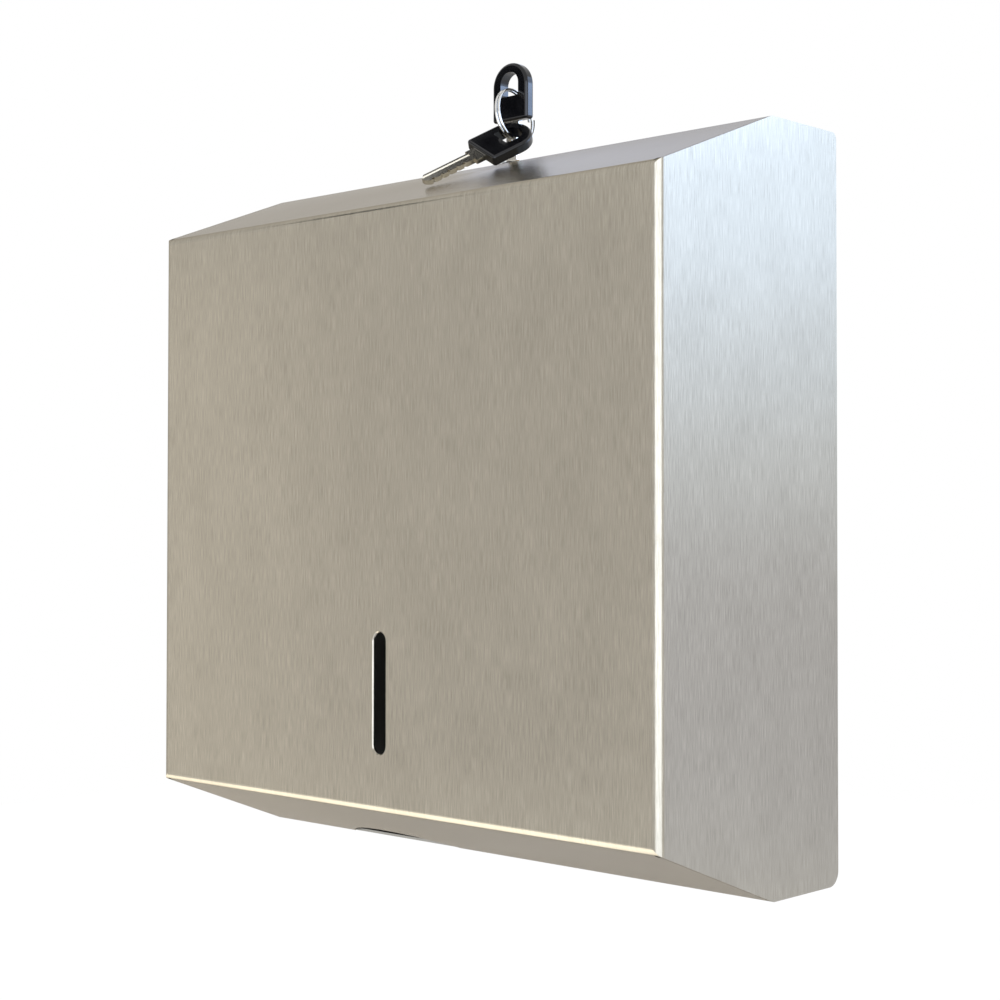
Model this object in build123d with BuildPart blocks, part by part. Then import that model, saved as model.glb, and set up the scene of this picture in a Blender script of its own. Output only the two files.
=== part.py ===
"""Wall-mounted folded-towel dispenser: a wall body, a folded sheet cover on two hinge studs, a cam lock
in the cover's top, a key in the lock and a split ring that carries a spare key.

Frame: origin on the wall face at mid width and mid height, +Z up, front toward -Y. Millimetres.
"""

import os
from math import cos, pi, radians, sin, tan

from build123d import *

os.makedirs("parts", exist_ok=True)

# Driving dimensions of the cover
width = 260.0
height = 270.0
depth = 105.0
bevel_share = 0.6
bevel_slope = 20.854
cover_sheet = 1.0
bend_radius = 3.0
seam_gap = 0.3
wall_gap = 2.0
lower_corner_radius = 5.5
upper_corner_radius = 2.5
corner_relief = 3.0
slot_length = 44.5
slot_width = 6.5
slot_rise = 43.0
slot_edge = 0.4
notch_x = -50.0
notch_half_chord = 31.0
notch_rise = 14.4

# Wall body
body_sheet = 1.0
body_side_gap = 2.0
body_bend = 1.5
body_top_gap = 15.0
top_flange_depth = 17.0
side_flange_top = 20.0
side_flange_inset = 0.5
side_taper_rise = 62.0
screw_spacing_x = 170.0
screw_spacing_z = 160.0
screw_hole_radius = 3.25

# Dispensing tray
tray_lip_setback = 1.0
tray_wall_height = 24.0
tray_wall_inset = 18.5
tray_bend = 1.2
mouth_margin = 9.5
mouth_inset = 32.0
tray_rivet_inset = 10.5
tray_rivet_rise = 8.0
tray_rivet_step = 8.0

# Hinge
hinge_y = -11.0
hinge_rise = 9.0
stud_radius = 3.0
stud_flange_radius = 6.0
stud_flange = 1.0
running_gap = 0.06
washer_radius = 7.0
washer_play = 0.15
clip_radius = 4.6
clip_thickness = 0.8
stud_tail = 0.8

# Lock
lock_setback = 9.0
lock_radius = 7.0
bezel_radius = 8.4
bezel_height = 1.0
bezel_chamfer = 0.5
lock_drop = 26.0
plug_radius = 5.0
plug_proud = 0.2
slip = 0.02
nut_across_flats = 18.0
nut_thickness = 4.0
lock_washer_thickness = 0.8
lock_washer_radius = 8.2
tail_size = 6.0
cam_thickness = 2.0
cam_width = 10.0
cam_length = 18.0
cam_play = 0.2
cam_screw_radius = 2.0
cam_screw_head_radius = 3.6
cam_screw_head = 2.4
cam_screw_edge = 0.8
cam_screw_length = 7.0
recess_width = 1.0
recess_depth = 1.2
wafer_width = 8.2
wafer_depth = 4.4
wafer_thickness = 0.8
wafer_play = 0.1

# Latch strike
strike_sheet = 1.5
strike_width = 8.0
strike_x = 16.0
strike_reach = 4.0
strike_gap = 0.6
rivet_radius = 1.5
rivet_head_radius = 2.8
rivet_head = 0.9
strike_rivet_pitch = 7.0

# Key
bow_width = 18.3
bow_length = 23.0
bow_thickness = 4.5
bow_corner = 1.2
bow_edge = 1.1
bow_hole_width = 9.4
bow_hole_length = 9.7
bow_rim = 3.6
blade_width = 5.3
blade_thickness = 2.0
blade_length = 27.0
shoulder_width = 8.0
shoulder_length = 4.5
tang_length = 7.0
tang_width = 6.0
bitting_count = 5
bitting_pitch = 3.6
bitting_size = 1.0
bitting_depths = (1.0, 0.5)
bitting_angle = 45.0
tip_chamfer = 1.75
groove_width = 1.2
groove_depth = 0.35
groove_offset = 1.05
keyway_clearance = 0.2
keyway_end_play = 0.5
key_exposed = 18.3

# Split ring
ring_radius = 10.8
ring_wire = 1.0
ring_pitch = 1.45
ring_turns = 2
ring_samples_per_quarter = 16
ring_offset = (3.36, -2.57, 19.4)
ring_heading = 4.25
ring_tilt = 7.5

# Spare key, placed from the lock's axis where it meets the top
spare_offset = (2.1, -20.75, 2.3)
spare_heading = 22.4
spare_rise = 28.2
spare_roll = 34.4

# Derived places
half_width = width / 2
top_z = height / 2
front_y = -depth
bevel_depth = bevel_share * depth
ridge_y = front_y + bevel_depth
fold_z = top_z - bevel_depth * tan(radians(bevel_slope))
slot_center_z = -fold_z + slot_rise
inner_x = half_width - cover_sheet
body_x = inner_x - body_side_gap
body_top_z = top_z - body_top_gap
body_bottom_z = -top_z
side_taper_z = body_bottom_z + side_taper_rise
tray_floor_depth = -ridge_y - tray_lip_setback
side_flange_bottom = tray_floor_depth - side_flange_inset
tray_back_y = -body_sheet - body_sheet / 2
hinge_z = -top_z + hinge_rise
lock_y = ridge_y + lock_setback
flange_inner_x = body_x - body_sheet
tray_inner_x = flange_inner_x - body_sheet
lock_bottom_z = top_z - cover_sheet - lock_drop
plug_top_z = top_z + bezel_height + plug_proud
cam_top_z = lock_bottom_z - cam_play
cam_bottom_z = cam_top_z - cam_thickness
strike_face_y = lock_y - cam_width / 2 - strike_gap
strike_end_z = cam_bottom_z - strike_reach
ridge_shift = cover_sheet / 2 * tan(radians(bevel_slope / 2))
fold_shift = cover_sheet / 2 * tan(radians((90 - bevel_slope) / 2))
fold_tangent = bend_radius * tan(radians((90 - bevel_slope) / 2))
tray_floor_z = body_bottom_z + body_sheet / 2
mouth_y = (tray_back_y - tray_floor_depth) / 2
mouth_length = 2 * (tray_inner_x - mouth_inset)
mouth_width = tray_floor_depth + tray_back_y - 2 * mouth_margin
stud_length = inner_x - stud_flange - tray_inner_x + washer_play + clip_thickness + stud_tail
insertion = blade_length - shoulder_length
keyway_width = blade_width + 2 * keyway_clearance
keyway_height = blade_thickness + 2 * keyway_clearance
keyway_depth = insertion + keyway_end_play
wafer_depths = [
    insertion - (cut + 1) * bitting_pitch - wafer_thickness / 2 for cut in range(bitting_count)
]
tray_rivet_places = [
    (
        -tray_floor_depth + tray_rivet_inset + index * tray_rivet_step,
        body_bottom_z + tray_rivet_rise + index * tray_rivet_step,
    )
    for index in range(2)
]
strike_rivet_places = [(strike_x, -top_flange_depth / 2 + step * strike_rivet_pitch / 2) for step in (1, -1)]


# Cover: one sheet, folded to a front, two sides, two bevels and a top
with BuildPart() as front_cover:
    with BuildSketch(Plane.XY.offset(-top_z)):
        with Locations((0, (front_y - wall_gap) / 2)):
            Rectangle(width, depth - wall_gap)
        fillet(vertices().group_by(Axis.Y)[0], bend_radius)
    extrude(amount=height)
    with BuildSketch(Plane.XY.offset(-top_z)):
        with Locations((0, (front_y + cover_sheet) / 2)):
            Rectangle(2 * inner_x, depth - cover_sheet)
        fillet(vertices().group_by(Axis.Y)[0], bend_radius - cover_sheet)
    extrude(amount=height, mode=Mode.SUBTRACT)
    # The flat of the front ends at each fold. The bends and the side panels are cut to the folded outline,
    # and the panels' corners are rounded.
    for side in (1, -1):
        flat_end = side * (fold_z - fold_tangent)
        bevel_tangent = (
            front_y + fold_tangent * cos(radians(bevel_slope)),
            side * (fold_z + fold_tangent * sin(radians(bevel_slope))),
        )
        with BuildSketch(Plane.XY.offset(flat_end)):
            with Locations((0, front_y)):
                Rectangle(width - 2 * bend_radius, 2 * bend_radius)
        extrude(amount=side * depth, mode=Mode.SUBTRACT)
        for end in (1, -1):
            with BuildSketch(Plane.YZ.offset(end * (half_width - bend_radius))):
                with BuildLine():
                    TangentArc((front_y, flat_end), bevel_tangent, tangent=(0, side))
                    Polyline(
                        bevel_tangent,
                        (ridge_y, side * top_z),
                        (ridge_y, side * (top_z + depth)),
                        (front_y - depth, side * (top_z + depth)),
                        (front_y - depth, flat_end),
                        (front_y, flat_end),
                    )
                make_face()
            extrude(amount=end * bend_radius, mode=Mode.SUBTRACT)
    for end, rear_radius in ((0, lower_corner_radius), (-1, upper_corner_radius)):
        for place, radius in ((-1, rear_radius), (0, bend_radius)):
            fillet(edges().filter_by(Axis.X).group_by(Axis.Z)[end].group_by(Axis.Y)[place], radius)
    # The bevels and the top lie between the side panels, with an open seam along each. Each fold is as wide
    # as the flat of the front, so a small gap is left where it meets the vertical bend.
    for side in (1, -1):
        rear_point = (-wall_gap, side * (top_z - cover_sheet / 2))
        ridge_point = (ridge_y + ridge_shift, side * (top_z - cover_sheet / 2))
        fold_point = (front_y + cover_sheet / 2, side * (fold_z - fold_shift))
        leg_point = (fold_point[0], fold_point[1] - side * 2 * bend_radius)
        relief_point = (
            fold_point[0] + corner_relief * cos(radians(bevel_slope)),
            fold_point[1] + side * corner_relief * sin(radians(bevel_slope)),
        )
        for points, reach in (
            ((rear_point, ridge_point, fold_point, leg_point), half_width - bend_radius),
            ((rear_point, ridge_point, relief_point), inner_x - seam_gap),
        ):
            with BuildSketch(Plane.YZ):
                with BuildLine():
                    FilletPolyline(*points, radius=bend_radius - cover_sheet / 2)
                trace(line_width=cover_sheet)
                if side < 0:
                    with Locations((-wall_gap, -top_z)):
                        Rectangle(-2 * (ridge_y + wall_gap), 2 * bend_radius, mode=Mode.SUBTRACT)
            extrude(amount=reach, both=True)
    with BuildSketch(Plane.XY.offset(-top_z)):
        with BuildLine():
            notch_start = (notch_x - notch_half_chord, ridge_y)
            notch_end = (notch_x + notch_half_chord, ridge_y)
            ThreePointArc(notch_start, (notch_x, ridge_y - notch_rise), notch_end)
            Line(notch_end, notch_start)
        make_face()
    extrude(amount=top_z - fold_z, mode=Mode.SUBTRACT)
    with BuildSketch(Plane.XZ):
        with Locations((0, slot_center_z)):
            SlotOverall(slot_length, slot_width, rotation=90)
    extrude(amount=depth, mode=Mode.SUBTRACT)
    chamfer(faces().sort_by(Axis.Y)[0].inner_wires()[0].edges(), slot_edge)
    with BuildSketch(Plane.XY.offset(top_z)):
        with Locations((0, lock_y)):
            Circle(lock_radius + slip)
    extrude(amount=-2 * cover_sheet, mode=Mode.SUBTRACT)
front_cover.part.label = "front_cover"
export_step(front_cover.part, "parts/front_cover.step")

# Wall body: a back plate with side flanges and a top flange, four holes for wall screws
with BuildPart() as back_plate:
    with BuildSketch(Plane.XY.offset(body_bottom_z)):
        with BuildLine():
            FilletPolyline(
                (-body_x + body_sheet / 2, -side_flange_bottom),
                (-body_x + body_sheet / 2, -body_sheet / 2),
                (body_x - body_sheet / 2, -body_sheet / 2),
                (body_x - body_sheet / 2, -side_flange_bottom),
                radius=body_bend,
            )
        trace(line_width=body_sheet)
    extrude(amount=body_top_z - body_bottom_z)
    with BuildSketch(Plane.YZ):
        with BuildLine():
            Polyline(
                (-side_flange_top, body_top_z),
                (-side_flange_bottom, side_taper_z),
                (-side_flange_bottom, body_top_z),
                close=True,
            )
        make_face()
    extrude(amount=body_x, both=True, mode=Mode.SUBTRACT)
    with BuildSketch(Plane.XY.offset(body_top_z - body_sheet)):
        with Locations((0, -top_flange_depth / 2)):
            Rectangle(2 * (flange_inner_x - seam_gap), top_flange_depth)
    extrude(amount=body_sheet)
    with BuildSketch(Plane.XZ):
        with GridLocations(screw_spacing_x, screw_spacing_z, 2, 2):
            Circle(screw_hole_radius)
    extrude(amount=2 * body_sheet, mode=Mode.SUBTRACT)
    with BuildSketch(Plane.YZ):
        with Locations((hinge_y, hinge_z)):
            Circle(stud_radius + running_gap)
        with Locations(*tray_rivet_places):
            Circle(rivet_radius + slip)
    extrude(amount=width, both=True, mode=Mode.SUBTRACT)
    with BuildSketch(Plane.XY.offset(body_top_z)):
        with Locations(*strike_rivet_places):
            Circle(rivet_radius + slip)
    extrude(amount=-2 * body_sheet, mode=Mode.SUBTRACT)
back_plate.part.label = "back_plate"
export_step(back_plate.part, "parts/back_plate.step")

# Dispensing tray: a floor level with the cover's lower edge, the towel's mouth in it, a wall at each end
with BuildPart() as dispensing_tray:
    with BuildSketch(Plane.YZ):
        with BuildLine():
            FilletPolyline(
                (tray_back_y, body_bottom_z + tray_wall_height),
                (tray_back_y, tray_floor_z),
                (-tray_floor_depth, tray_floor_z),
                radius=tray_bend,
            )
        trace(line_width=body_sheet)
    extrude(amount=tray_inner_x, both=True)
    for side in (1, -1):
        with BuildSketch(Plane.YZ.offset(side * tray_inner_x)):
            with BuildLine():
                Polyline(
                    (-body_sheet - body_bend, tray_floor_z - body_sheet / 2),
                    (-body_sheet - body_bend, body_bottom_z + tray_wall_height),
                    (-tray_floor_depth + tray_wall_inset, body_bottom_z + tray_wall_height),
                    (-tray_floor_depth + tray_bend, tray_floor_z + body_bend),
                    (-tray_floor_depth + tray_bend, tray_floor_z - body_sheet / 2),
                    close=True,
                )
            make_face()
        extrude(amount=side * body_sheet)
    with BuildSketch(Plane.XY.offset(body_bottom_z)):
        with Locations((0, mouth_y)):
            SlotOverall(mouth_length, mouth_width)
    extrude(amount=body_sheet, mode=Mode.SUBTRACT)
    with BuildSketch(Plane.YZ):
        with Locations((hinge_y, hinge_z)):
            Circle(stud_radius + running_gap)
        with Locations(*tray_rivet_places):
            Circle(rivet_radius + slip)
    extrude(amount=width, both=True, mode=Mode.SUBTRACT)
dispensing_tray.part.label = "dispensing_tray"
export_step(dispensing_tray.part, "parts/dispensing_tray.step")

# Rivets through tray wall and side flange, two at each end
with BuildPart() as tray_rivets:
    for side in (1, -1):
        for start, length, radius in (
            (tray_inner_x - rivet_head, rivet_head, rivet_head_radius),
            (tray_inner_x, 2 * body_sheet, rivet_radius),
            (body_x, rivet_head, rivet_head_radius),
        ):
            with BuildSketch(Plane.YZ.offset(side * start)):
                with Locations(*tray_rivet_places):
                    Circle(radius)
            extrude(amount=side * length)
tray_rivets.part.label = "tray_rivets"
export_step(tray_rivets.part, "parts/tray_rivets.step")

# Latch strike: an angle on the top flange whose tab stands in front of the locked cam
with BuildPart() as latch_strike:
    with BuildSketch(Plane.YZ.offset(strike_x)):
        with BuildLine():
            FilletPolyline(
                (-body_bend - body_sheet, body_top_z + strike_sheet / 2),
                (strike_face_y - strike_sheet / 2, body_top_z + strike_sheet / 2),
                (strike_face_y - strike_sheet / 2, strike_end_z),
                radius=strike_sheet,
            )
        trace(line_width=strike_sheet)
    extrude(amount=strike_width / 2, both=True)
    with BuildSketch(Plane.XY.offset(body_top_z)):
        with Locations(*strike_rivet_places):
            Circle(rivet_radius + slip)
    extrude(amount=2 * strike_sheet, mode=Mode.SUBTRACT)
latch_strike.part.label = "latch_strike"
export_step(latch_strike.part, "parts/latch_strike.step")

with BuildPart() as strike_rivets:
    for start, length, radius in (
        (body_top_z - body_sheet - rivet_head, rivet_head, rivet_head_radius),
        (body_top_z - body_sheet, body_sheet + strike_sheet, rivet_radius),
        (body_top_z + strike_sheet, rivet_head, rivet_head_radius),
    ):
        with BuildSketch(Plane.XY.offset(start)):
            with Locations(*strike_rivet_places):
                Circle(radius)
        extrude(amount=length)
strike_rivets.part.label = "strike_rivets"
export_step(strike_rivets.part, "parts/strike_rivets.step")

# Hinge: a stud welded inside each side panel, a washer beside the body and a clip on the stud's end
for name, side in (("right", 1), ("left", -1)):
    with BuildPart() as hinge_stud:
        with BuildSketch(Plane.YZ.offset(side * inner_x)):
            with Locations((hinge_y, hinge_z)):
                Circle(stud_flange_radius)
        extrude(amount=-side * stud_flange)
        with BuildSketch(Plane.YZ.offset(side * (inner_x - stud_flange))):
            with Locations((hinge_y, hinge_z)):
                Circle(stud_radius)
        extrude(amount=-side * stud_length)
    hinge_stud.part.label = f"{name}_hinge_stud"
    export_step(hinge_stud.part, f"parts/{name}_hinge_stud.step")

    with BuildPart() as hinge_washer:
        with BuildSketch(Plane.YZ.offset(side * (body_x + washer_play))):
            with Locations((hinge_y, hinge_z)):
                Circle(washer_radius)
                Circle(stud_radius + slip, mode=Mode.SUBTRACT)
        extrude(amount=side * (body_side_gap - stud_flange - washer_play))
    hinge_washer.part.label = f"{name}_hinge_washer"
    export_step(hinge_washer.part, f"parts/{name}_hinge_washer.step")

    with BuildPart() as hinge_clip:
        with BuildSketch(Plane.YZ.offset(side * (tray_inner_x - washer_play))):
            with Locations((hinge_y, hinge_z)):
                Circle(clip_radius)
                Circle(stud_radius + slip, mode=Mode.SUBTRACT)
        extrude(amount=-side * clip_thickness)
    hinge_clip.part.label = f"{name}_hinge_clip"
    export_step(hinge_clip.part, f"parts/{name}_hinge_clip.step")

# Lock, from the bezel on the cover's top down to the cam and its screw
with BuildPart() as lock_housing:
    with BuildSketch(Plane.XY.offset(lock_bottom_z)):
        with Locations((0, lock_y)):
            Circle(lock_radius)
    extrude(amount=top_z - lock_bottom_z)
    with BuildSketch(Plane.XY.offset(top_z)):
        with Locations((0, lock_y)):
            Circle(bezel_radius)
    extrude(amount=bezel_height)
    chamfer(faces().sort_by(Axis.Z)[-1].edges(), bezel_chamfer)
    with BuildSketch(Plane.XY.offset(lock_bottom_z)):
        with Locations((0, lock_y)):
            Circle(plug_radius + running_gap)
    extrude(amount=height, mode=Mode.SUBTRACT)
lock_housing.part.label = "lock_housing"
export_step(lock_housing.part, "parts/lock_housing.step")

with BuildPart() as lock_washer:
    with BuildSketch(Plane.XY.offset(top_z - cover_sheet)):
        with Locations((0, lock_y)):
            Circle(lock_washer_radius)
            Circle(lock_radius + slip, mode=Mode.SUBTRACT)
    extrude(amount=-lock_washer_thickness)
lock_washer.part.label = "lock_washer"
export_step(lock_washer.part, "parts/lock_washer.step")

with BuildPart() as lock_nut:
    with BuildSketch(Plane.XY.offset(top_z - cover_sheet - lock_washer_thickness)):
        with Locations((0, lock_y)):
            RegularPolygon(nut_across_flats / 2, 6, major_radius=False)
            Circle(lock_radius + slip, mode=Mode.SUBTRACT)
    extrude(amount=-nut_thickness)
lock_nut.part.label = "lock_nut"
export_step(lock_nut.part, "parts/lock_nut.step")

with BuildPart() as lock_plug:
    with BuildSketch(Plane.XY.offset(lock_bottom_z)):
        with Locations((0, lock_y)):
            Circle(plug_radius)
    extrude(amount=plug_top_z - lock_bottom_z)
    with BuildSketch(Plane.XY.offset(lock_bottom_z)):
        with Locations((0, lock_y)):
            Rectangle(tail_size, tail_size)
    extrude(amount=-(cam_play + cam_thickness))
    with BuildSketch(Plane.XY.offset(plug_top_z)):
        with Locations((0, lock_y)):
            Rectangle(keyway_width, keyway_height)
    extrude(amount=-keyway_depth, mode=Mode.SUBTRACT)
    for depth_below in wafer_depths:
        with BuildSketch(Plane.XY.offset(plug_top_z - depth_below + wafer_play)):
            with Locations((0, lock_y)):
                Rectangle(wafer_width + 2 * wafer_play, wafer_depth + 2 * wafer_play)
        extrude(amount=-(wafer_thickness + 2 * wafer_play), mode=Mode.SUBTRACT)
    with BuildSketch(Plane.XY.offset(cam_bottom_z)):
        with Locations((0, lock_y)):
            Circle(cam_screw_radius + slip)
    extrude(amount=cam_screw_length, mode=Mode.SUBTRACT)
lock_plug.part.label = "lock_plug"
export_step(lock_plug.part, "parts/lock_plug.step")

with BuildPart() as lock_wafers:
    for depth_below in wafer_depths:
        with BuildSketch(Plane.XY.offset(plug_top_z - depth_below)):
            with Locations((0, lock_y)):
                Rectangle(wafer_width, wafer_depth)
                Rectangle(keyway_width, keyway_height, mode=Mode.SUBTRACT)
        extrude(amount=-wafer_thickness)
lock_wafers.part.label = "lock_wafers"
export_step(lock_wafers.part, "parts/lock_wafers.step")

with BuildPart() as lock_cam:
    with BuildSketch(Plane.XY.offset(cam_top_z)):
        with Locations((0, lock_y + (cam_length - cam_width / 2) / 2)):
            SlotCenterToCenter(cam_length - cam_width / 2, cam_width, rotation=90)
        with Locations((0, lock_y)):
            Rectangle(tail_size + 2 * slip, tail_size + 2 * slip, mode=Mode.SUBTRACT)
    extrude(amount=-cam_thickness)
lock_cam.part.label = "lock_cam"
export_step(lock_cam.part, "parts/lock_cam.step")

with BuildPart() as cam_screw:
    with BuildSketch(Plane.XY.offset(cam_bottom_z)):
        with Locations((0, lock_y)):
            Circle(cam_screw_head_radius)
    extrude(amount=-cam_screw_head)
    fillet(faces().sort_by(Axis.Z)[0].edges(), cam_screw_edge)
    with BuildSketch(Plane.XY.offset(cam_bottom_z)):
        with Locations((0, lock_y)):
            Circle(cam_screw_radius)
    extrude(amount=cam_screw_length - slip)
    with BuildSketch(Plane.XY.offset(cam_bottom_z - cam_screw_head)):
        with Locations((0, lock_y)):
            Rectangle(2 * cam_screw_head_radius, recess_width)
            Rectangle(recess_width, 2 * cam_screw_head_radius)
    extrude(amount=recess_depth, mode=Mode.SUBTRACT)
cam_screw.part.label = "cam_screw"
export_step(cam_screw.part, "parts/cam_screw.step")

# Two keys alike: one in the lock, one on the ring. In a key's own plane X runs across and Y along it.
spare_along = (
    cos(radians(spare_rise)) * sin(radians(spare_heading)),
    cos(radians(spare_rise)) * cos(radians(spare_heading)),
    sin(radians(spare_rise)),
)
spare_level = (cos(radians(spare_heading)), -sin(radians(spare_heading)), 0)
spare_across = Vector(*spare_level).rotate(Axis((0, 0, 0), spare_along), spare_roll)
spare_face = spare_across.cross(Vector(*spare_along))
spare_origin = Vector(0, lock_y, top_z) + Vector(*spare_offset)
key_plane = Plane((0, lock_y, top_z + key_exposed), x_dir=(1, 0, 0), z_dir=(0, -1, 0))
spare_plane = Plane(spare_origin, x_dir=spare_across, z_dir=spare_face)

for name, plane in (("key", key_plane), ("spare_key", spare_plane)):
    with BuildPart() as key_bow:
        with BuildSketch(plane):
            with Locations((0, (bow_length - bow_width / 2) / 2)):
                Rectangle(bow_width, bow_length - bow_width / 2)
            with Locations((0, bow_length - bow_width / 2)):
                Circle(bow_width / 2)
            fillet(vertices().group_by(Axis.Y)[0], bow_corner)
        extrude(amount=bow_thickness / 2, both=True)
        bow_faces = faces().filter_by(plane)
        fillet([edge for face in bow_faces for edge in face.edges()], bow_edge)
        with BuildSketch(plane):
            with Locations((0, bow_length - bow_rim - bow_hole_length / 2)):
                SlotOverall(bow_hole_length, bow_hole_width, rotation=90)
            with Locations((0, bow_length - bow_rim - bow_hole_length + bow_hole_width / 4)):
                Rectangle(bow_hole_width, bow_hole_width / 2)
            fillet(vertices().group_by(Axis.Y)[0], bow_corner)
        extrude(amount=bow_thickness, both=True, mode=Mode.SUBTRACT)
        with BuildSketch(plane):
            with Locations((0, tang_length / 2)):
                Rectangle(tang_width + 2 * slip, tang_length)
        extrude(amount=blade_thickness / 2 + slip, both=True, mode=Mode.SUBTRACT)
    key_bow.part.label = f"{name}_bow"
    export_step(key_bow.part, f"parts/{name}_bow.step")

    with BuildPart() as key_blade:
        with BuildSketch(plane):
            with Locations((0, -blade_length / 2)):
                Rectangle(blade_width, blade_length)
            chamfer(vertices().group_by(Axis.Y)[0], tip_chamfer)
            with Locations((0, -shoulder_length / 2)):
                Rectangle(shoulder_width, shoulder_length)
            with Locations((0, (tang_length - slip) / 2)):
                Rectangle(tang_width, tang_length - slip)
            for cut in range(bitting_count):
                with Locations((blade_width / 2, -blade_length + (cut + 1) * bitting_pitch)):
                    Rectangle(
                        2 * bitting_depths[cut % 2], bitting_size, rotation=bitting_angle, mode=Mode.SUBTRACT
                    )
        extrude(amount=blade_thickness / 2, both=True)
        with BuildSketch(plane.offset(blade_thickness / 2)):
            with Locations((-groove_offset, -(blade_length + shoulder_length) / 2)):
                Rectangle(groove_width, insertion)
        extrude(amount=-groove_depth, mode=Mode.SUBTRACT)
    key_blade.part.label = f"{name}_blade"
    export_step(key_blade.part, f"parts/{name}_blade.step")

# Split ring: one wire of two turns, through both bow holes
ring_axis = Vector(1, 0, 0).rotate(Axis.Y, -ring_tilt).rotate(Axis.Z, ring_heading)
ring_plane = Plane(Vector(0, lock_y, top_z) + Vector(*ring_offset), x_dir=(0, 1, 0), z_dir=ring_axis)
ring_steps = 4 * ring_turns


def ring_point(quarters):
    """A place on the wire, counted in quarter turns from its start."""
    angle = quarters * pi / 2
    rise = ring_pitch * (quarters / 4 - ring_turns / 2)
    return ring_plane.from_local_coords(Vector(ring_radius * cos(angle), ring_radius * sin(angle), rise))


with BuildPart() as key_ring:
    with BuildLine() as ring_line:
        start_slope = ring_pitch / (8 * ring_radius)
        heading = ring_plane.from_local_coords(Vector(0, 1, start_slope)) - ring_plane.origin
        for step in range(ring_steps):
            quarter = TangentArc(ring_point(step), ring_point(step + 1), tangent=heading)
            heading = quarter % 1
    with BuildSketch(Plane(ring_line.line @ 0, z_dir=ring_line.line % 0)):
        Circle(ring_wire / 2)
    sweep()
key_ring.part.label = "key_ring"
export_step(key_ring.part, "parts/key_ring.step")
ring_samples = [
    ring_point(index / ring_samples_per_quarter) for index in range(ring_samples_per_quarter * ring_steps + 1)
]
half_turn = 2 * ring_samples_per_quarter
ring_gap = min(
    (ring_samples[first] - ring_samples[second]).length
    for first in range(len(ring_samples))
    for second in range(first + half_turn, len(ring_samples))
)
print(f"least gap of the ring's wire to itself: {ring_gap - ring_wire:.2f} mm")
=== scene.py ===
# %% [markdown]
# A wall-mounted dispenser for folded paper towels, in brushed stainless steel, with a key in its lock.
# The solids come ready made and in place, so this lesson is about finishes: each one starts from what
# the metal or plastic is and from how its surface was made. First the solids are loaded.

import bpy
from mathutils import Matrix, Vector

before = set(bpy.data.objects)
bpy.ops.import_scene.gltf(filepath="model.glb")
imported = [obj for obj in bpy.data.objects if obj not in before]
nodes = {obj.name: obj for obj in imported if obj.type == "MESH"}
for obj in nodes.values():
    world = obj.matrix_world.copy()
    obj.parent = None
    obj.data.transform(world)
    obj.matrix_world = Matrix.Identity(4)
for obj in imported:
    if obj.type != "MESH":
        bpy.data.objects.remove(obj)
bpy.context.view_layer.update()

print("loaded", len(nodes), "nodes")

# %% [markdown]
# Colours are written the way a paint chart gives them, as sRGB hex. Shaders want linear light, so one
# function converts. The curve is the sRGB standard's: straight near black, and a power above that.

# %% Colours
SRGB_KNEE = 0.04045
SRGB_SLOPE = 12.92
SRGB_OFFSET = 0.055
SRGB_POWER = 2.4


def linear(hex_colour):
    """An sRGB hex colour as linear red, green, blue and full alpha."""
    channels = [int(hex_colour[i:i + 2], 16) / 255 for i in (1, 3, 5)]
    steps = [
        c / SRGB_SLOPE if c <= SRGB_KNEE else ((c + SRGB_OFFSET) / (1 + SRGB_OFFSET)) ** SRGB_POWER
        for c in channels]
    return (*steps, 1.0)


print("mid grey is", round(linear("#808080")[0], 3), "in linear light")

# %% [markdown]
# A material is a small network of nodes. The first helper adds a node, sets its values and links its
# inputs. The other two start a material with its shader and link what was worked out to that shader, so
# that a material reads as a list of what feeds what.

# %% Helpers for materials


def add_node(material, kind, values=(), links=(), **settings):
    """Add one node to a material, with its settings, its socket values and its linked inputs."""
    node = material.node_tree.nodes.new(kind)
    for setting, value in settings.items():
        setattr(node, setting, value)
    for socket, value in dict(values).items():
        node.inputs[socket].default_value = value
    for socket, source in dict(links).items():
        material.node_tree.links.new(source, node.inputs[socket])
    return node


def start_material(name, **values):
    """A material with one Principled shader, and that shader."""
    material = bpy.data.materials.new(name)
    material.use_nodes = True
    shader = material.node_tree.nodes["Principled BSDF"]
    for socket, value in values.items():
        shader.inputs[socket.replace("_", " ")].default_value = value
    return material, shader


def feed(material, shader, **sources):
    """Link what a material worked out to its shader's sockets."""
    for socket, source in sources.items():
        material.node_tree.links.new(source, shader.inputs[socket.replace("_", " ")])


print("material helpers ready")

# %% [markdown]
# Every finish here is made the same way. A noise says where the surface differs, and that noise then
# drives three things: the colour goes from a dark to a light tone, the shine from tight to dull, and the
# surface gets a little relief. Blender's Mix node has sockets for numbers and for colours side by side,
# so we give the ones we use a name.

# %% What a noise can drive
MIX_NUMBER_A = 2
MIX_NUMBER_B = 3
MIX_COLOUR_A = 6
MIX_COLOUR_B = 7
MIX_COLOUR_RESULT = 2


def noise(material, point, scale, detail, roughness=0.5):
    """A cloudy noise at a point, from 0 to 1."""
    values = {"Scale": scale, "Detail": detail, "Roughness": roughness}
    return add_node(material, "ShaderNodeTexNoise", values, {"Vector": point}).outputs["Fac"]


def two_tone(material, dark, light, factor):
    """A colour between two tones."""
    tones = {MIX_COLOUR_A: linear(dark), MIX_COLOUR_B: linear(light)}
    mix = add_node(material, "ShaderNodeMix", tones, {"Factor": factor}, data_type="RGBA")
    return mix.outputs[MIX_COLOUR_RESULT]


def between(material, low, high, factor):
    """A number between two limits."""
    return add_node(
        material, "ShaderNodeMapRange", {"To Min": low, "To Max": high}, {"Value": factor}).outputs[0]


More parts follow.
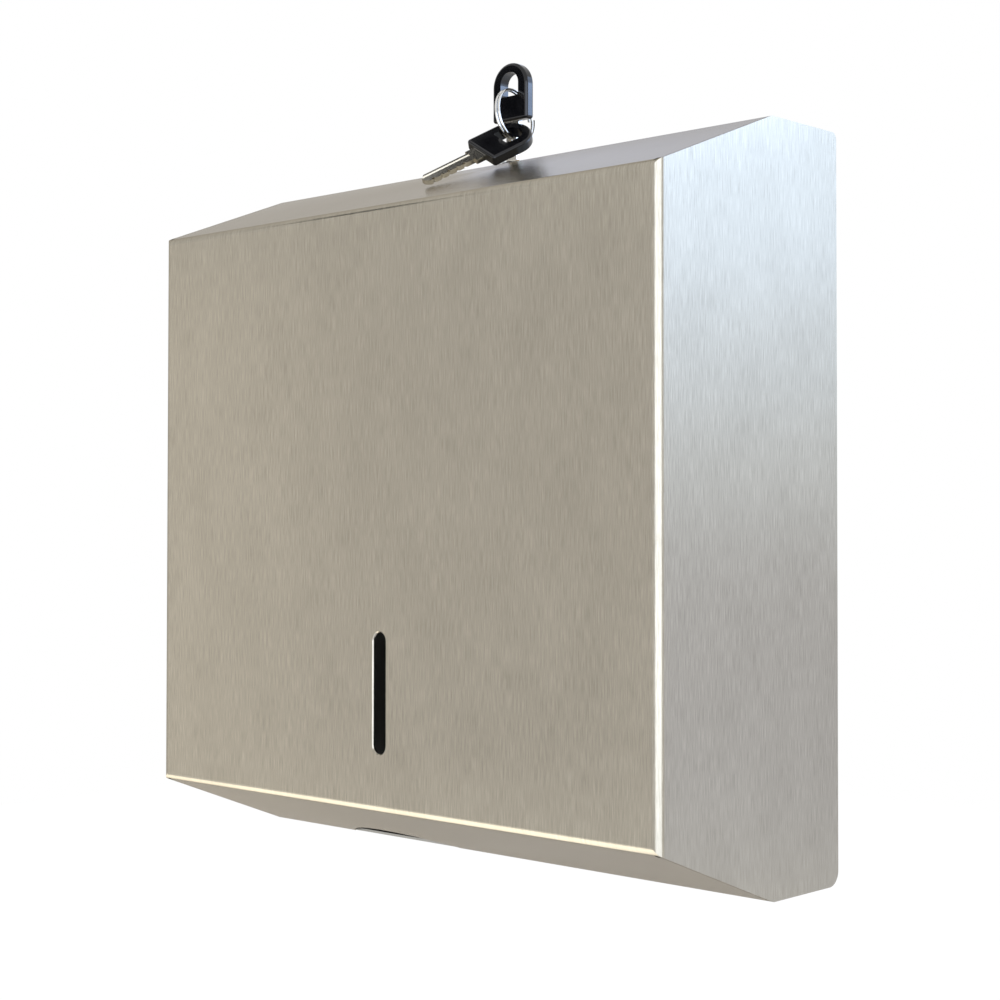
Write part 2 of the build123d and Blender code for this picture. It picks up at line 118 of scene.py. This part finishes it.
def relief(material, strength, depth, height):
    """A bumped normal from a height."""
    return add_node(
        material, "ShaderNodeBump", {"Strength": strength, "Distance": depth}, {"Height": height}).outputs[0]


print("pattern helpers ready")

# %% [markdown]
# The cover is austenitic stainless sheet, brushed with a belt before it was folded, so the scratches
# follow the sheet round its folds. On the front, the bevels and the top they run down the sheet and
# differ across X. On the side panels they also run down, so there they differ across Y. The surface's
# own normal tells the two apart.

# %% Across and along the sheet
SIDE_FACING = 0.7


def choose(material, switch, off, on):
    """One of two numbers, by a switch that is 0 or 1."""
    links = {"Factor": switch, MIX_NUMBER_A: off, MIX_NUMBER_B: on}
    return add_node(material, "ShaderNodeMix", links=links).outputs[0]


def sheet_point(material):
    """Where a point lies across and along the brushing."""
    place = add_node(material, "ShaderNodeTexCoord")
    geometry = add_node(material, "ShaderNodeNewGeometry")
    point = add_node(material, "ShaderNodeSeparateXYZ", links={0: place.outputs["Object"]})
    facing = add_node(material, "ShaderNodeSeparateXYZ", links={0: geometry.outputs["True Normal"]})
    sideways = add_node(material, "ShaderNodeMath", links={0: facing.outputs["X"]}, operation="ABSOLUTE")
    on_side = add_node(
        material, "ShaderNodeMath", {1: SIDE_FACING}, {0: sideways.outputs[0]}, operation="GREATER_THAN")
    slope = add_node(
        material, "ShaderNodeMath", links={0: point.outputs["Z"], 1: point.outputs["Y"]}, operation="ADD")
    across = choose(material, on_side.outputs[0], point.outputs["X"], point.outputs["Y"])
    along = choose(material, on_side.outputs[0], slope.outputs[0], point.outputs["Z"])
    return add_node(material, "ShaderNodeCombineXYZ", links={"X": across, "Y": along}).outputs[0]


print("the side panels are those that face sideways by more than", SIDE_FACING)

# %% [markdown]
# A belt leaves long fine scratches, all one way. Here they are a noise that is squeezed across the sheet
# and drawn out along it, and a second, much larger noise gives the faint clouds that handling and
# rolling leave. The eye gets fine streaks, a soft stretched shine and a warm grey. The body's sheet is
# hidden in use, so it keeps the plainer and duller finish of the mill.

# %% Brushed stainless
MM = 0.001
SCRATCH_WIDTH = 0.35 * MM
SCRATCH_LENGTH = 8 * MM
SCRATCH_DETAIL = 4.0
SCRATCH_RELIEF = 0.35
CLOUD_WIDTH = 22 * MM
CLOUD_LENGTH = 40 * MM
CLOUD_DETAIL = 2.0
CLOUD_SHARE = 0.18
STREAK_ROUGHNESS = 0.6
SHINE_SPREAD = 0.06
SHINE_STRETCH = 0.35
EDGE_TINT = "#cbc6bf"


def streaks(material, point, wide, long, detail):
    """Noise that is drawn out along the sheet."""
    stretched = add_node(
        material, "ShaderNodeVectorMath", {1: (1 / wide, 1 / long, 1.0)}, {0: point}, operation="MULTIPLY")
    return noise(material, stretched.outputs[0], 1.0, detail, STREAK_ROUGHNESS)


def brushed_sheet(name, light, dark, shine, scratch_depth):
    """Belt-brushed steel sheet with scratches that run down it."""
    material, shader = start_material(
        name, Metallic=1.0, Anisotropic=SHINE_STRETCH, Specular_Tint=linear(EDGE_TINT))
    point = sheet_point(material)
    scratches = streaks(material, point, SCRATCH_WIDTH, SCRATCH_LENGTH, SCRATCH_DETAIL)
    clouds = streaks(material, point, CLOUD_WIDTH, CLOUD_LENGTH, CLOUD_DETAIL)
    both = add_node(
        material, "ShaderNodeMix", {"Factor": CLOUD_SHARE}, {MIX_NUMBER_A: scratches, MIX_NUMBER_B: clouds})
    feed(
        material, shader,
        Base_Color=two_tone(material, dark, light, both.outputs[0]),
        Roughness=between(material, shine - SHINE_SPREAD, shine + SHINE_SPREAD, scratches),
        Normal=relief(material, SCRATCH_RELIEF, scratch_depth, scratches))
    return material


cover_steel = brushed_sheet(
    "brushed_stainless_sheet", light="#c9c2b3", dark="#757064", shine=0.24, scratch_depth=0.02 * MM)
body_steel = brushed_sheet(
    "mill_finish_stainless_sheet", light="#a9a8a4", dark="#8d8c88", shine=0.36, scratch_depth=0.012 * MM)
print("made", cover_steel.name, "and", body_steel.name)

# %% [markdown]
# Small metal parts are turned, stamped or cast and then plated. A fine cloudy noise stands for the grain
# of the plating, drawn coarser than it is so that it shows: real plating grains are a few microns. The
# eye gets a shine that is broken up a little, duller more often than brighter.

# %% Plated and turned metals
PLATING_GRAIN = 0.6 * MM
PLATING_DETAIL = 5.0
PLATING_ROUGHNESS = 0.6
PLATING_RELIEF = 0.2
PLATING_DEPTH = 0.01 * MM
BRIGHTER = 0.05
DULLER = 0.07


def plated_metal(name, light, dark, shine):
    """Small metal part with a slightly uneven shine."""
    material, shader = start_material(name, Metallic=1.0)
    place = add_node(material, "ShaderNodeTexCoord").outputs["Object"]
    grain = noise(material, place, 1 / PLATING_GRAIN, PLATING_DETAIL, PLATING_ROUGHNESS)
    feed(
        material, shader,
        Base_Color=two_tone(material, dark, light, grain),
        Roughness=between(material, shine - BRIGHTER, shine + DULLER, grain),
        Normal=relief(material, PLATING_RELIEF, PLATING_DEPTH, grain))
    return material


zinc_plate = plated_metal("zinc_plated_steel", light="#c4c5c6", dark="#9b9da0", shine=0.32)
lock_chrome = plated_metal("chromed_die_cast_zinc", light="#d4d6d8", dark="#b4b7ba", shine=0.12)
turned_brass = plated_metal("turned_brass", light="#cdb071", dark="#a98a4d", shine=0.25)
nickel_silver = plated_metal("milled_nickel_silver", light="#e8e5de", dark="#c2bbac", shine=0.14)
ring_nickel = plated_metal("nickel_plated_spring_steel", light="#e9e8e5", dark="#c4c3bf", shine=0.1)
print("made", ", ".join(m.name for m in (zinc_plate, lock_chrome, turned_brass, nickel_silver, ring_nickel)))

# %% [markdown]
# The key bows are ABS, injection moulded in black in a polished tool. Gloss black plastic is all
# reflection: its own colour is nearly nothing. A fine orange peel from the mould and a faint haze from
# handling keep the shine from looking like glass. The hinge washers are plain nylon from a duller tool.

# %% Moulded plastics
PEEL = 1.2 * MM
PEEL_DETAIL = 3.0
PEEL_RELIEF = 0.15
PEEL_DEPTH = 0.02 * MM
HAZE = 6 * MM
HAZE_DETAIL = 4.0
PLASTIC_IOR = 1.53


def moulded_plastic(name, colour, haze_colour, shine, haze_shine, gloss):
    """Injection-moulded plastic with orange peel and a little handling haze."""
    material, shader = start_material(name, IOR=PLASTIC_IOR, Specular_IOR_Level=gloss)
    place = add_node(material, "ShaderNodeTexCoord").outputs["Object"]
    peel = noise(material, place, 1 / PEEL, PEEL_DETAIL)
    haze = noise(material, place, 1 / HAZE, HAZE_DETAIL)
    feed(
        material, shader,
        Base_Color=two_tone(material, colour, haze_colour, haze),
        Roughness=between(material, shine, haze_shine, haze),
        Normal=relief(material, PEEL_RELIEF, PEEL_DEPTH, peel))
    return material


black_abs = moulded_plastic(
    "moulded_black_abs", colour="#030305", haze_colour="#06070b", shine=0.1, haze_shine=0.2, gloss=0.4)
washer_nylon = moulded_plastic(
    "moulded_nylon", colour="#dcdad2", haze_colour="#cfccc2", shine=0.4, haze_shine=0.55, gloss=0.5)
print("made", black_abs.name, "and", washer_nylon.name)

# %% [markdown]
# Each solid takes the finish of what it is made of. The list goes by finish, so that a reader sees at
# once which parts share one.

# %% Dress the solids
finishes = {
    cover_steel: ["front_cover"],
    body_steel: ["back_plate", "dispensing_tray", "latch_strike"],
    zinc_plate: [
        "tray_rivets", "strike_rivets", "left_hinge_stud", "right_hinge_stud", "left_hinge_clip",
        "right_hinge_clip", "lock_washer", "lock_nut", "lock_cam", "cam_screw"],
    lock_chrome: ["lock_housing"],
    turned_brass: ["lock_plug", "lock_wafers"],
    nickel_silver: ["key_blade", "spare_key_blade"],
    ring_nickel: ["key_ring"],
    black_abs: ["key_bow", "spare_key_bow"],
    washer_nylon: ["left_hinge_washer", "right_hinge_washer"],
}
for material, names in finishes.items():
    for name in names:
        slots = nodes[name].data.materials
        slots.clear()
        slots.append(material)
print("dressed", sum(len(names) for names in finishes.values()), "of", len(nodes), "nodes")

# %% [markdown]
# The dispenser hangs on a wall that isn't part of it, so here it hangs in plain white surroundings. A
# white world gives even light from all sides, and a matt white floor well below takes a soft shadow.

# %% White room
FLOOR_Z = -0.8
FLOOR_SIZE = 8.0
WHITE = "#ffffff"

scene = bpy.context.scene
scene.view_settings.view_transform = "Standard"
world = bpy.data.worlds.new("white_room")
scene.world = world
world.use_nodes = True
background = world.node_tree.nodes["Background"]
background.inputs["Color"].default_value = linear(WHITE)
background.inputs["Strength"].default_value = 1.0


def matt_plane(name, size, place, paint_name, colour):
    """A flat sheet in matt paint that isn't part of the object."""
    bpy.ops.mesh.primitive_plane_add(size=size, location=place)
    plane = bpy.context.object
    plane.name = name
    paint, _ = start_material(paint_name, Base_Color=linear(colour), Roughness=1.0, Specular_IOR_Level=0.0)
    plane.data.materials.append(paint)
    return plane


floor = matt_plane("floor", FLOOR_SIZE, (0, 0, FLOOR_Z), "matt_white_floor", WHITE)
print("white world and a floor at", floor.location.z, "m")

# %% [markdown]
# Brushed steel has little colour of its own: it shows what is around it. So each lamp stands where one
# surface mirrors it toward the camera. Bigger lamps need more power to look as bright, so we give a
# lamp's level instead, where 1 is as bright as white paper, and work the power out from its area.

# %% A soft lamp
WATTS_PER_AREA = 4.0


def soft_lamp(name, place, target, wide, high, level, colour):
    """A flat lamp that faces a target."""
    data = bpy.data.lights.new(name, "AREA")
    data.shape = "RECTANGLE"
    data.size = wide
    data.size_y = high
    data.energy = WATTS_PER_AREA * wide * high * level
    data.color = linear(colour)[:3]
    lamp = bpy.data.objects.new(name, data)
    lamp.location = place
    lamp.rotation_euler = (Vector(target) - Vector(place)).to_track_quat("-Z", "Y").to_euler()
    scene.collection.objects.link(lamp)


print("a lamp of one square metre at level 1 takes", WATTS_PER_AREA, "watts")

# %% [markdown]
# The right side mirrors a window behind the object that is brighter toward its top. Three bands, one
# above the other, make that slope from grey to pale blue. A weak blue lamp under them cools the lower
# part of the side, and one behind to the left cools the right end of the top bevel.

# %% Window light
WINDOW_PLACE = (1.1, 1.33)
WINDOW_TARGET = (0.13, -0.05)
WINDOW_WIDTH = 1.4
WINDOW_BLUE = "#b2d1ff"
WINDOW_BANDS = ((-0.02, 0.13, 0.56), (0.13, 0.28, 1.1), (0.28, 1.3, 1.9))
LOW_BAND_Z = -0.26

for low, high, level in WINDOW_BANDS:
    middle = (low + high) / 2
    soft_lamp(
        f"window_from_{low}", (*WINDOW_PLACE, middle), (*WINDOW_TARGET, middle), wide=WINDOW_WIDTH,
        high=high - low, level=level, colour=WINDOW_BLUE)
soft_lamp(
    "cool_low", (*WINDOW_PLACE, LOW_BAND_Z), (*WINDOW_TARGET, LOW_BAND_Z), wide=WINDOW_WIDTH, high=0.48,
    level=0.2, colour="#639cff")
soft_lamp(
    "cool_top", place=(-0.82, 1.05, 0.69), target=(0.1, -0.07, 0.12), wide=0.5, high=0.5, level=0.35,
    colour="#8fb6ff")
print("window in", len(WINDOW_BANDS), "bands, and two cool lamps")

# %% [markdown]
# A round fold mirrors a wide sweep of the room in a narrow strip, so a lamp that no flat face mirrors
# still draws a bright line along a fold. The bounce below to the left draws the cream line along the
# lower fold, and the broad light to the right draws the white line down the side bend. A weak warm wall
# far to the left tints the front.

# %% Light for the folds
soft_lamp(
    "warm_wall", place=(-1.36, -1.08, -0.15), target=(0, -0.1, -0.05), wide=0.6, high=1.0, level=0.2,
    colour="#fff1dc")
soft_lamp(
    "warm_bounce", place=(-0.5, -0.4, -0.5), target=(-0.5, -0.4, 0), wide=0.7, high=0.8, level=1.7,
    colour="#fff8e8")
soft_lamp(
    "bend_light", place=(1.25, -1.0, 0.1), target=(0.1, -0.1, 0), wide=2.6, high=1.2, level=1.9,
    colour="#e2edff")
print("a warm wall, a bounce and a light for the bend")

# %% [markdown]
# Gloss black mirrors only a few percent, so what should show in it has to be bright. One small lamp in
# the window draws the blue edge of the standing key's bow, and one low behind lights the bows' rims.

# %% Light for the black bows
soft_lamp(
    "bow_window", place=(1.19, 1.265, 0.6), target=(0, -0.03, 0.16), wide=0.25, high=0.14, level=6.0,
    colour="#b9d4ff")
soft_lamp(
    "bow_glint", place=(0.73, 0.61, -0.47), target=(0, -0.05, 0.14), wide=0.2, high=0.2, level=2.2,
    colour="#d6e6ff")

# %% [markdown]
# Photographers also hold up things that are darker than the room. Two black flags keep the white room
# out of the bows' faces, and two grey cards tone down the lower bevel and the front. The cards show only
# in what the object mirrors: the camera doesn't see them, and they cast no shadow.

# %% Cards and flags
FLAG_BLACK = "#050505"


def card(name, place, target, size, colour):
    """A matt card that faces a target and stays out of the picture."""
    sheet = matt_plane(name, size, place, f"{name}_paint", colour)
    sheet.rotation_euler = (Vector(target) - Vector(place)).to_track_quat("Z", "Y").to_euler()
    sheet.visible_camera = False
    sheet.visible_shadow = False


card(
    "flag_before_key", place=(-0.165, -0.215, 0.217), target=(0, -0.035, 0.162), size=0.06,
    colour=FLAG_BLACK)
card(
    "flag_above_spare_key", place=(-0.063, -0.033, 0.434), target=(0.006, -0.048, 0.143), size=0.09,
    colour=FLAG_BLACK)
card("grey_card_low", place=(-0.52, 0.4, -0.375), target=(0, -0.07, -0.12), size=0.6, colour="#c9c3ba")
card("grey_card_front", place=(-0.87, -1.25, 0), target=(0.1, -0.1, 0), size=0.7, colour="#d0ccc7")
print("two flags and two grey cards")

# %% [markdown]
# The camera stands to the right at mid height. Its place and lens come from the directions in which the
# box's edges run in the photograph. A small shift puts the box where it is in the frame.

# %% Camera
CAMERA_PLACE = Vector((495.457, -568.981, -3.548)) * MM
LOOK = Vector((-0.68368, 0.72945, 0.0220)).normalized()
RIGHT = Vector((0.72964, 0.68383, 0.0010)).normalized()
SENSOR_WIDTH = 36.0
LENS = 66.54
SHIFT_Y = -0.0236
CLIP_START = 0.01

up = RIGHT.cross(LOOK).normalized()
right = LOOK.cross(up).normalized()
camera_data = bpy.data.cameras.new("photo_camera")
camera_data.sensor_width = SENSOR_WIDTH
camera_data.lens = LENS
camera_data.shift_y = SHIFT_Y
camera_data.clip_start = CLIP_START
camera = bpy.data.objects.new("photo_camera", camera_data)
camera.matrix_world = Matrix.Translation(CAMERA_PLACE) @ Matrix((right, up, -LOOK)).transposed().to_4x4()
scene.collection.objects.link(camera)
scene.camera = camera
print("camera at", tuple(round(v, 3) for v in camera.location))

# %% [markdown]
# Last, the script says that it is done.

# %% End
print("done")
